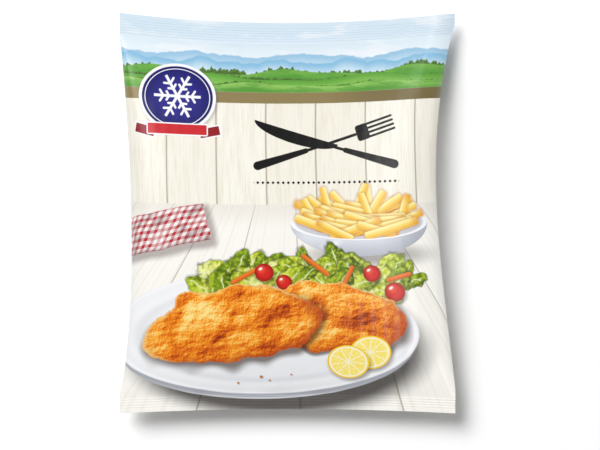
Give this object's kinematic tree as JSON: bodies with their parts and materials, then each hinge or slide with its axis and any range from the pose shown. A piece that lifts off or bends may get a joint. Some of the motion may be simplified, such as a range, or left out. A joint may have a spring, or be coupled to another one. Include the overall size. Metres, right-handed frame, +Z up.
{
  "type": "pillow bag of frozen breaded cutlets",
  "caption": "Sealed pillow bag of printed plastic film, filled with frozen breaded cutlets, lying on its back with a crimped seal at each end.",
  "frame": {"origin": "on the floor, under the centre of the bag as it lies on its back", "axes": "+X across the bag to the right of the printed front, +Y from the bottom seal to the top seal, +Z up through the front"},
  "size_m": [0.268, 0.32, 0.0572],
  "materials": {
    "film": "printed plastic film, semi-gloss, with a crimped band at each end"
  },
  "bodies": {
    "root": {"bag": "film"}
  },
  "joints": []
}
